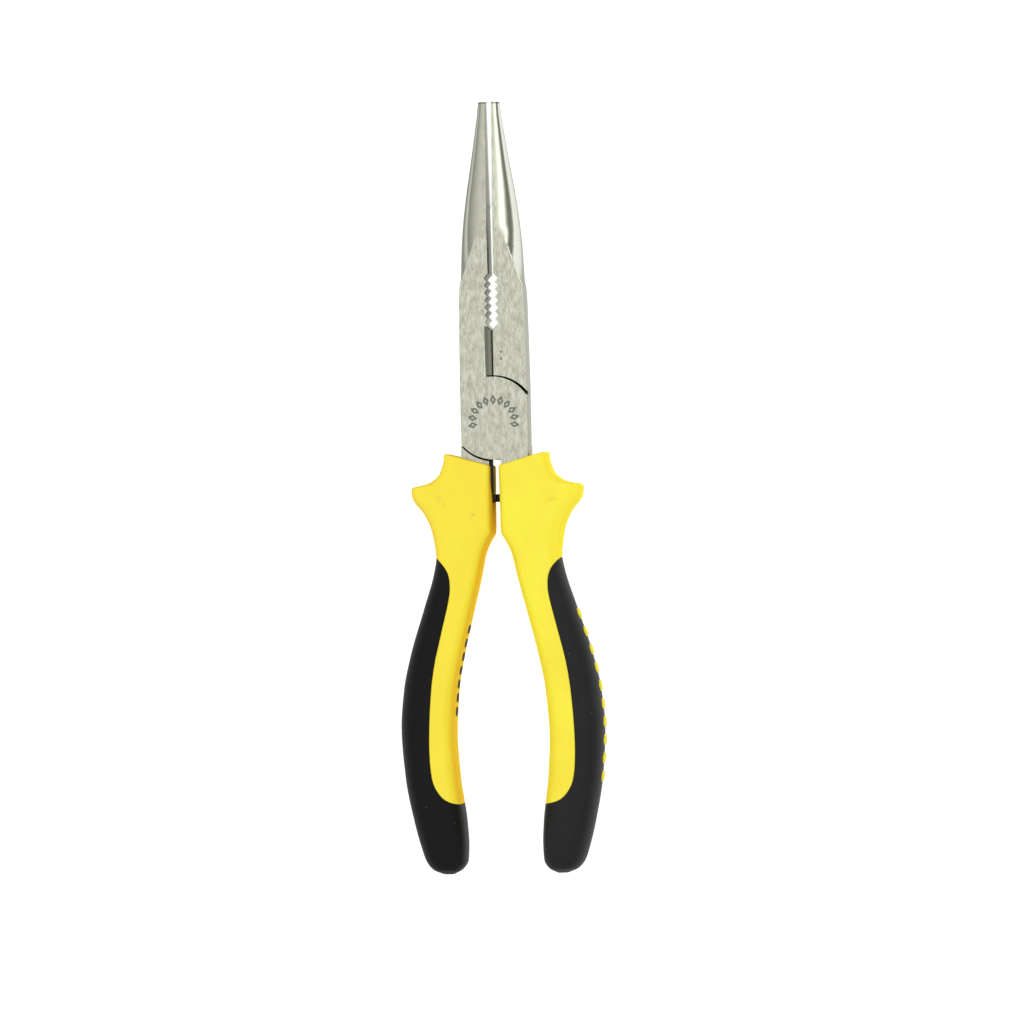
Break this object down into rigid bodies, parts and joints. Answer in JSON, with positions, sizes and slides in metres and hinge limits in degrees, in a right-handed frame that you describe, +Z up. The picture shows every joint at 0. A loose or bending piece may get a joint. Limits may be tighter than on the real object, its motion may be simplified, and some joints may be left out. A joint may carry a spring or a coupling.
{
  "type": "long-nose pliers",
  "caption": "Long-nose pliers with lap joint, side cutter, pipe grip, serrated half-round jaws and two-colour guarded comfort grips.",
  "frame": {"origin": "on the pivot axis, at the flat back face of the lap joint", "axes": "+Y from the pivot towards the jaw tips, +Z up out of the front face, +X to the right seen from the front; the pliers lie flat"},
  "size_m": [0.0533, 0.1999, 0.0154],
  "materials": {
    "ground_steel": "belt-ground satin tool steel, lightly oiled",
    "rivet_steel": "ground flush with the joint",
    "yellow_core": "satin moulded plastic",
    "black_overmould": "fine matte texture"
  },
  "bodies": {
    "front_half": {"front_lever": "ground_steel", "pivot_rivet": "rivet_steel", "right_grip_core": "yellow_core", "right_grip_overmould": "black_overmould", "right_grip_rib_1": "black_overmould", "right_grip_rib_2": "black_overmould", "right_grip_rib_3": "black_overmould", "right_grip_rib_4": "black_overmould", "right_grip_rib_5": "black_overmould", "right_grip_rib_6": "black_overmould", "right_grip_rib_7": "black_overmould"},
    "back_half": {"back_lever": "ground_steel", "left_grip_core": "yellow_core", "left_grip_overmould": "black_overmould", "left_grip_rib_1": "black_overmould", "left_grip_rib_2": "black_overmould", "left_grip_rib_3": "black_overmould", "left_grip_rib_4": "black_overmould", "left_grip_rib_5": "black_overmould", "left_grip_rib_6": "black_overmould", "left_grip_rib_7": "black_overmould"}
  },
  "joints": [
    {"name": "pivot", "type": "hinge", "parent": "front_half", "child": "back_half", "pos_m": [0, 0, 0], "axis": [0, 0, -1], "range_deg": [-0.65, 40]}
  ]
}
